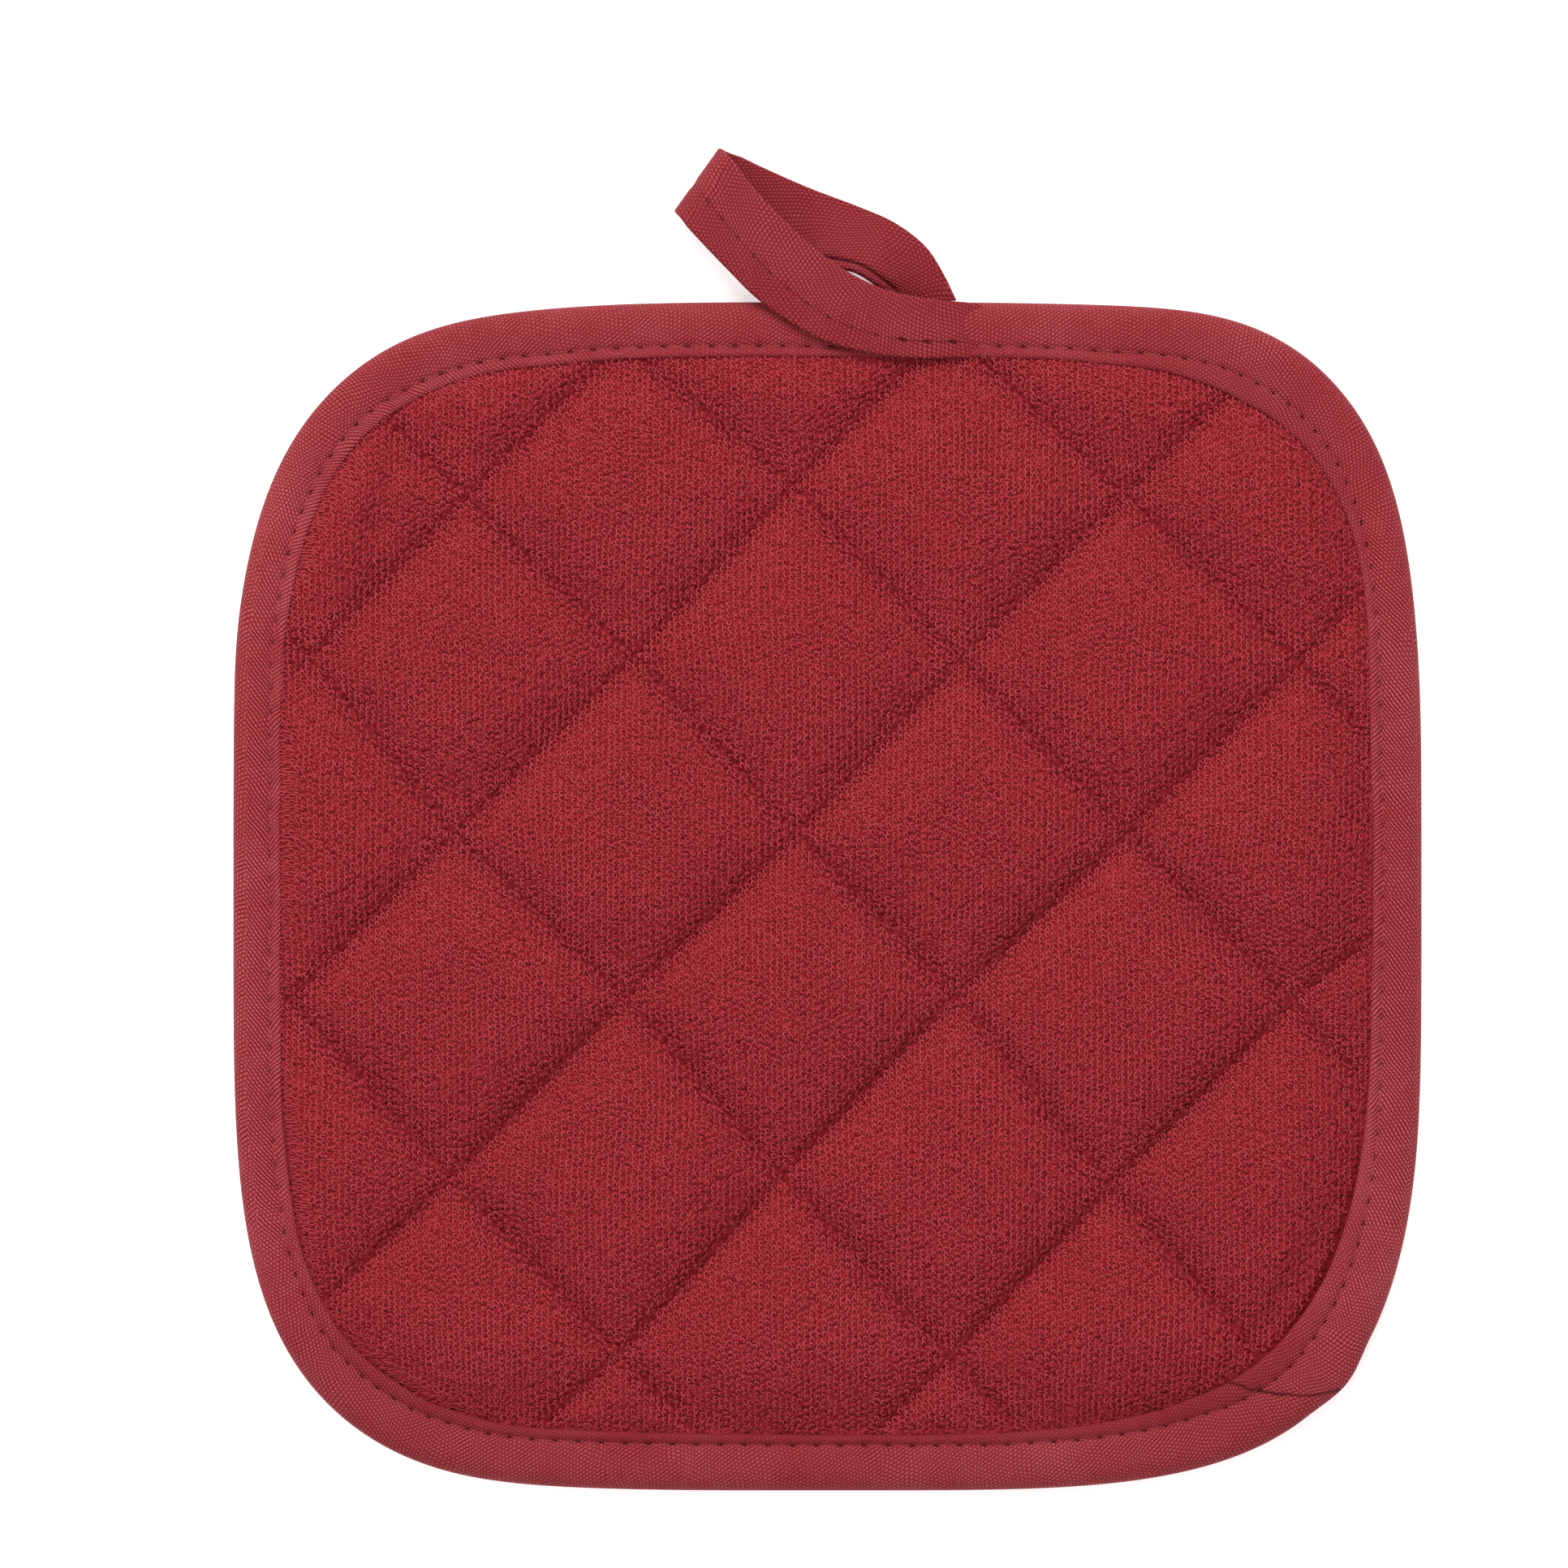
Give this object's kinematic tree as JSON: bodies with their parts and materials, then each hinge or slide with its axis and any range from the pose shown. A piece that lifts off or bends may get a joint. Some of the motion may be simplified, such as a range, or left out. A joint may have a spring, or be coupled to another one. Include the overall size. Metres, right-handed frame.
{
  "type": "pot holder",
  "caption": "Soft square quilted terry pot holder with rounded corners, a bias-tape bound edge and a folded hanging loop of the same tape at its top edge.",
  "frame": {"origin": "on the surface it lies on, below the middle of the square pad", "axes": "+X to the right of the face, +Y towards the edge with the hanging loop, +Z out of the face"},
  "size_m": [0.165, 0.1862, 0.0086],
  "materials": {
    "terry": "matte looped cotton terry, deep red",
    "tape": "plain woven bias tape, slightly lighter red, with matching stitches"
  },
  "bodies": {
    "root": {"pad": "terry", "binding": "tape", "hanging_loop": "tape"}
  },
  "joints": []
}
